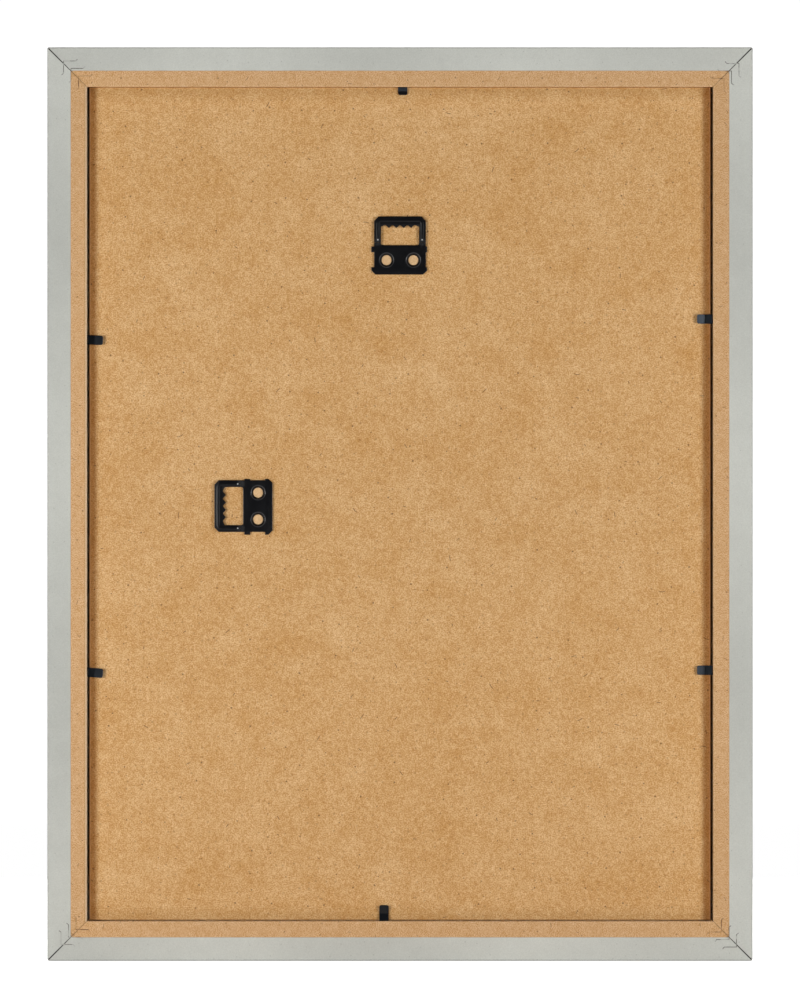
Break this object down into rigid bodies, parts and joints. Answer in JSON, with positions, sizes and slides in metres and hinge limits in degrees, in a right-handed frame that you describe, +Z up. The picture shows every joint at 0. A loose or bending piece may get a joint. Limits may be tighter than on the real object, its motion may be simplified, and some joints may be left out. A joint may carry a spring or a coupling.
{
  "type": "picture frame",
  "caption": "Picture frame: mitred wrapped rails, recessed hardboard back held by bendable steel tabs, sawtooth hangers for hanging upright or sideways.",
  "frame": {"origin": "the nail's seat: root of the middle notch of the portrait hanger, at the middle of the sheet", "axes": "+Z up as it hangs in portrait, +Y out of the picture side, -Y to the wall, +X to the right as seen from behind"},
  "size_m": [0.339, 0.0161, 0.439],
  "materials": {
    "silver_foil": "satin silver-grey foil",
    "fibreboard": "raw sawn MDF",
    "hardboard": "smooth brown hardboard",
    "hardboard_slug": "torn hardboard",
    "black_steel": "black, semi-gloss",
    "nail_steel": "dull strip",
    "glass": "clear",
    "paper": "blank sheet"
  },
  "bodies": {
    "frame": {"glass_pane": "glass", "picture_sheet": "paper", "back_board": "hardboard", "v_nails_top_left": "nail_steel", "v_nails_top_right": "nail_steel", "v_nails_bottom_right": "nail_steel", "v_nails_bottom_left": "nail_steel", "tab_shanks": "black_steel", "rail_top": "fibreboard", "foil_top": "silver_foil", "rail_right": "fibreboard", "foil_right": "silver_foil", "rail_bottom": "fibreboard", "foil_bottom": "silver_foil", "rail_left": "fibreboard", "foil_left": "silver_foil", "hanger_plate_portrait": "black_steel", "hanger_plate_landscape": "black_steel", "board_slugs": "hardboard_slug"},
    "tab_top": {"tab_top": "black_steel"},
    "tab_bottom": {"tab_bottom": "black_steel"},
    "tab_left_upper": {"tab_left_upper": "black_steel"},
    "tab_left_lower": {"tab_left_lower": "black_steel"},
    "tab_right_upper": {"tab_right_upper": "black_steel"},
    "tab_right_lower": {"tab_right_lower": "black_steel"},
    "loop_portrait": {"hanger_loop_portrait": "black_steel"},
    "loop_landscape": {"hanger_loop_landscape": "black_steel"}
  },
  "joints": [
    {"name": "bend_tab_top", "type": "hinge", "parent": "frame", "child": "tab_top", "pos_m": [0.0013, -0.00035, 0.06622], "axis": [-1, 0, 0], "range_deg": [0, 90]},
    {"name": "bend_tab_bottom", "type": "hinge", "parent": "frame", "child": "tab_bottom", "pos_m": [-0.0077, -0.00035, -0.33432], "axis": [1, 0, 0], "range_deg": [0, 90]},
    {"name": "bend_tab_left_upper", "type": "hinge", "parent": "frame", "child": "tab_left_upper", "pos_m": [-0.15015, -0.00035, -0.05507], "axis": [-0.0523, 0, -0.9986], "range_deg": [0, 90]},
    {"name": "bend_tab_left_lower", "type": "hinge", "parent": "frame", "child": "tab_left_lower", "pos_m": [-0.15007, -0.00035, -0.21489], "axis": [-0.0872, 0, -0.9962], "range_deg": [0, 90]},
    {"name": "bend_tab_right_upper", "type": "hinge", "parent": "frame", "child": "tab_right_upper", "pos_m": [0.15027, -0.00035, -0.04515], "axis": [0, 0, 1], "range_deg": [0, 90]},
    {"name": "bend_tab_right_lower", "type": "hinge", "parent": "frame", "child": "tab_right_lower", "pos_m": [0.15027, -0.00035, -0.21395], "axis": [0, 0, 1], "range_deg": [0, 90]},
    {"name": "bend_loop_portrait", "type": "hinge", "parent": "frame", "child": "loop_portrait", "pos_m": [0, 0, -0.0079], "axis": [1, 0, 0], "range_deg": [0, 30]},
    {"name": "bend_loop_landscape", "type": "hinge", "parent": "frame", "child": "loop_landscape", "pos_m": [-0.07715, 0, -0.13505], "axis": [0, 0, 1], "range_deg": [0, 30]}
  ]
}
